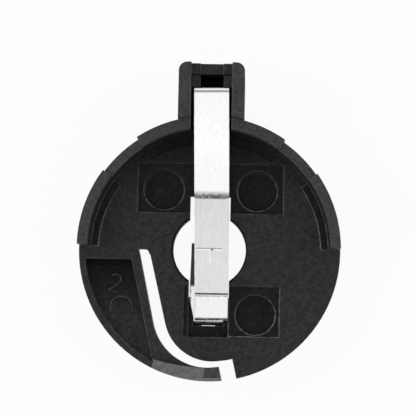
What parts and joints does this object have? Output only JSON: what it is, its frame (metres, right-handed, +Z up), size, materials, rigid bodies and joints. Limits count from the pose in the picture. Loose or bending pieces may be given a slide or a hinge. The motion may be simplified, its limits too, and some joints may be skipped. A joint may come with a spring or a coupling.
{
  "type": "coin cell holder",
  "caption": "Round through-hole holder for a 20 mm coin cell, with a tower contact over the cell, a tongue contact under it and a sprung catch arm.",
  "frame": {"origin": "on the cell's axis, in the board plane that the feet stand on", "axes": "+Z up along the cell's axis away from the board, +Y towards the contact tower, +X to the right with the tower at the back"},
  "size_m": [0.023, 0.0275, 0.0092],
  "materials": {
    "housing": "black moulded plastic with a fine satin grain",
    "positive_contact": "plated spring metal with fine rolling marks",
    "negative_contact": "plated spring metal with fine rolling marks"
  },
  "bodies": {
    "root": {"housing": "housing", "positive_contact": "positive_contact", "negative_contact": "negative_contact"}
  },
  "joints": []
}
